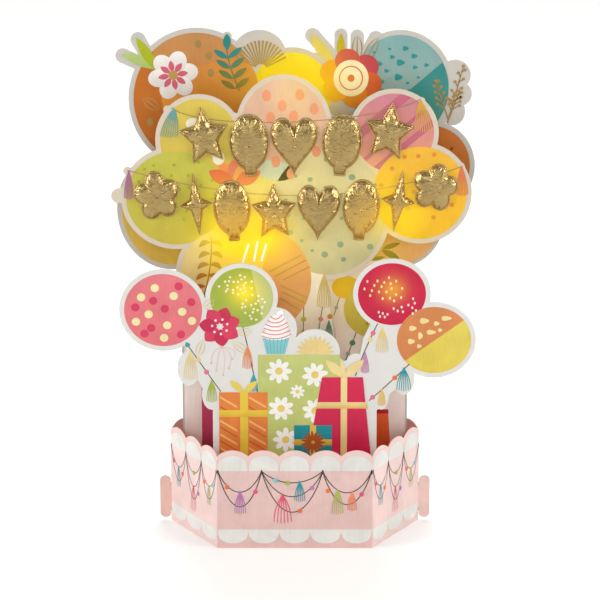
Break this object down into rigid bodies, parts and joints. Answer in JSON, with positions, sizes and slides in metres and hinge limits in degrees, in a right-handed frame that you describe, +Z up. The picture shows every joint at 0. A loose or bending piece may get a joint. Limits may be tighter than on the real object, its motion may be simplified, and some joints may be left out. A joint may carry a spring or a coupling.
{
  "type": "pop up card",
  "caption": "Light-up pop up card: a folded six-sided scalloped base holding upright die-cut sheets of balloons and gifts, with puffed foil pieces and a press button.",
  "frame": {"origin": "on the table, at the middle of the front panel's bottom edge", "axes": "+Z up, the printed front faces -Y, +X to the right as seen from the front"},
  "size_m": [0.1588, 0.07, 0.2269],
  "materials": {
    "base_card": "coated card, printed, satin",
    "rear_card": "coated card, printed, satin",
    "cloud_card": "coated card, printed, satin",
    "scene_card": "coated card, printed, satin",
    "spacer_card": "plain white card",
    "gold_foil": "metallised film, puffed and wrinkled",
    "module_plastic": "moulded, fine matt texture",
    "board_laminate": "glass laminate, green",
    "chip_resin": "drop of black resin",
    "speaker_can": "pressed steel can",
    "cell_steel": "polished steel can",
    "contact_brass": "sheet brass",
    "switch_plastic": "moulded",
    "button_plastic": "moulded",
    "light_board": "small lamp on a board",
    "wire_cover": "insulated wire"
  },
  "bodies": {
    "card": {"base_sleeve": "base_card", "rear_cloud": "rear_card", "front_cloud": "cloud_card", "front_scene": "scene_card", "module_cover": "module_plastic", "module_tray": "module_plastic", "circuit_board": "board_laminate", "sound_chip": "chip_resin", "speaker": "speaker_can", "button_cell_1": "cell_steel", "button_cell_2": "cell_steel", "button_cell_3": "cell_steel", "back_contact": "contact_brass", "front_contact": "contact_brass", "switch_body": "switch_plastic", "scene_spacer_left": "spacer_card", "scene_spacer_right": "spacer_card", "cloud_spacer_left": "spacer_card", "cloud_spacer_right": "spacer_card", "rear_spacer_left": "spacer_card", "rear_spacer_right": "spacer_card", "upper_spacer_left": "spacer_card", "upper_spacer_right": "spacer_card", "back_spacer_left": "spacer_card", "back_spacer_right": "spacer_card", "foil_star_1": "gold_foil", "foil_star_2": "gold_foil", "foil_star_3": "gold_foil", "foil_balloon_1": "gold_foil", "foil_balloon_2": "gold_foil", "foil_balloon_3": "gold_foil", "foil_balloon_4": "gold_foil", "foil_heart_1": "gold_foil", "foil_heart_2": "gold_foil", "foil_flower_1": "gold_foil", "foil_flower_2": "gold_foil", "foil_sparkle_1": "gold_foil", "foil_sparkle_2": "gold_foil", "light_1": "light_board", "light_wire_1": "wire_cover", "light_2": "light_board", "light_wire_2": "wire_cover", "light_3": "light_board", "light_wire_3": "wire_cover", "light_4": "light_board", "light_wire_4": "wire_cover", "light_5": "light_board", "light_wire_5": "wire_cover"},
    "button": {"press_button": "button_plastic", "switch_actuator": "button_plastic"}
  },
  "joints": [
    {"name": "button_press", "type": "slide", "parent": "card", "child": "button", "axis": [0, 1, 0], "range_m": [0, 0.0005], "stiffness_N_per_m": 1500, "springref_m": -0.0005}
  ]
}
